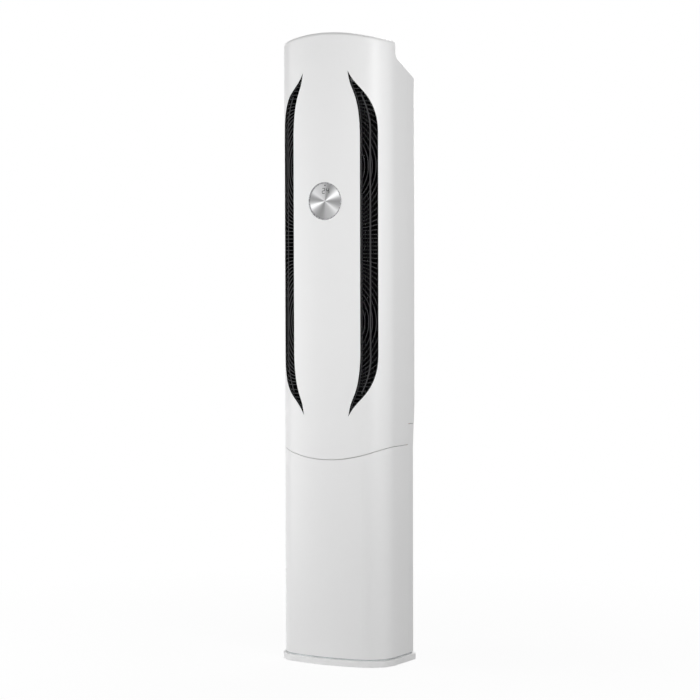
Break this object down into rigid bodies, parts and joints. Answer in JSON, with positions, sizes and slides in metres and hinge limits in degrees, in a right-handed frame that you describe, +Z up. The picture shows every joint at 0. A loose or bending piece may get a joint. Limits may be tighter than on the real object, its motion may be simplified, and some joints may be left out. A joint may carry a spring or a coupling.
{
  "type": "floor standing air conditioner",
  "caption": "Tall slim floor standing air conditioner with two hooked corner outlets, round metal display, sloping rear shoulder and pull-off lower front.",
  "frame": {"origin": "on the floor, in the middle of the footprint", "axes": "+Z up, -Y out of the front with the display, +X to the right seen from the front"},
  "size_m": [0.374, 0.243, 1.85],
  "materials": {
    "white_plastic": "satin white moulding",
    "white_sheet": "white powder coat",
    "rubber": "matt",
    "galvanised_steel": "galvanised",
    "zinc_screws": "zinc plated",
    "black_plastic": "matt black",
    "grille_plastic": "satin dark grey",
    "fan_plastic": "satin",
    "motor_metal": "grey lacquer",
    "bearing_bronze": "sintered",
    "aluminium_fins": "bare fin stock",
    "copper": "drawn copper",
    "brass": "turned",
    "drain_plastic": "natural moulding",
    "filter_plastic": "moulded net",
    "brushed_metal": "spun",
    "bezel_metal": "satin",
    "circuit_board": "solder mask",
    "board_parts": "moulded parts",
    "box_plastic": "flame retardant"
  },
  "bodies": {
    "cabinet": {"base_pan": "galvanised_steel", "base_plinth": "white_plastic", "board_components": "board_parts", "cabinet_screws": "zinc_screws", "cable_gland": "black_plastic", "control_board": "circuit_board", "control_box": "box_plastic", "control_cover": "box_plastic", "cover_screws": "zinc_screws", "deck_bolts": "zinc_screws", "display_bezel": "bezel_metal", "display_board": "circuit_board", "display_disc": "brushed_metal", "drain_hose": "drain_plastic", "drain_pan": "drain_plastic", "electrical_plate": "galvanised_steel", "evaporator_end_plates": "galvanised_steel", "evaporator_fins": "aluminium_fins", "evaporator_tubes": "copper", "fan_bearing_left": "bearing_bronze", "fan_bearing_right": "bearing_bronze", "fan_casing_left": "black_plastic", "fan_casing_right": "black_plastic", "fan_motor_left": "motor_metal", "fan_motor_right": "motor_metal", "flare_unions": "brass", "front_panel_upper": "white_plastic", "gas_pipe": "copper", "liquid_pipe": "copper", "mid_deck": "galvanised_steel", "motor_mount_left": "rubber", "motor_mount_right": "rubber", "outlet_frame_left": "black_plastic", "outlet_frame_right": "black_plastic", "outlet_grille_left": "grille_plastic", "outlet_grille_right": "grille_plastic", "pipe_bracket": "galvanised_steel", "rear_cabinet_lower": "white_sheet", "rear_cover_upper": "white_plastic", "rubber_feet": "rubber", "terminal_block": "black_plastic", "top_brace": "galvanised_steel", "upright_left": "galvanised_steel", "upright_right": "galvanised_steel", "vane_motor_left": "motor_metal", "vane_motor_right": "motor_metal"},
    "fan_left": {"fan_rotor_left": "fan_plastic"},
    "fan_right": {"fan_rotor_right": "fan_plastic"},
    "vane_left": {"swing_vane_left": "black_plastic"},
    "vane_right": {"swing_vane_right": "black_plastic"},
    "filter_left_body": {"filter_left": "filter_plastic"},
    "filter_right_body": {"filter_right": "filter_plastic"},
    "lower_panel": {"front_panel_lower": "white_plastic"}
  },
  "joints": [
    {"name": "fan_left_spin", "type": "hinge", "parent": "cabinet", "child": "fan_left", "pos_m": [-0.082, -0.0025, 1.2], "axis": [0, 0, 1], "continuous": true},
    {"name": "fan_right_spin", "type": "hinge", "parent": "cabinet", "child": "fan_right", "pos_m": [0.082, -0.0025, 1.2], "axis": [0, 0, 1], "continuous": true},
    {"name": "vane_left_swing", "type": "hinge", "parent": "cabinet", "child": "vane_left", "pos_m": [-0.121, -0.0631, 1.2], "axis": [0, 0, 1], "range_deg": [-35, 35]},
    {"name": "vane_right_swing", "type": "hinge", "parent": "cabinet", "child": "vane_right", "pos_m": [0.121, -0.0631, 1.2], "axis": [0, 0, 1], "range_deg": [-35, 35]},
    {"name": "filter_left_lift", "type": "slide", "parent": "cabinet", "child": "filter_left_body", "axis": [0, 0, 1], "range_m": [0, 0.94]},
    {"name": "filter_right_lift", "type": "slide", "parent": "cabinet", "child": "filter_right_body", "axis": [0, 0, 1], "range_m": [0, 0.94]},
    {"name": "lower_panel_pull", "type": "slide", "parent": "cabinet", "child": "lower_panel", "axis": [0, -1, 0], "range_m": [0, 0.25]}
  ]
}
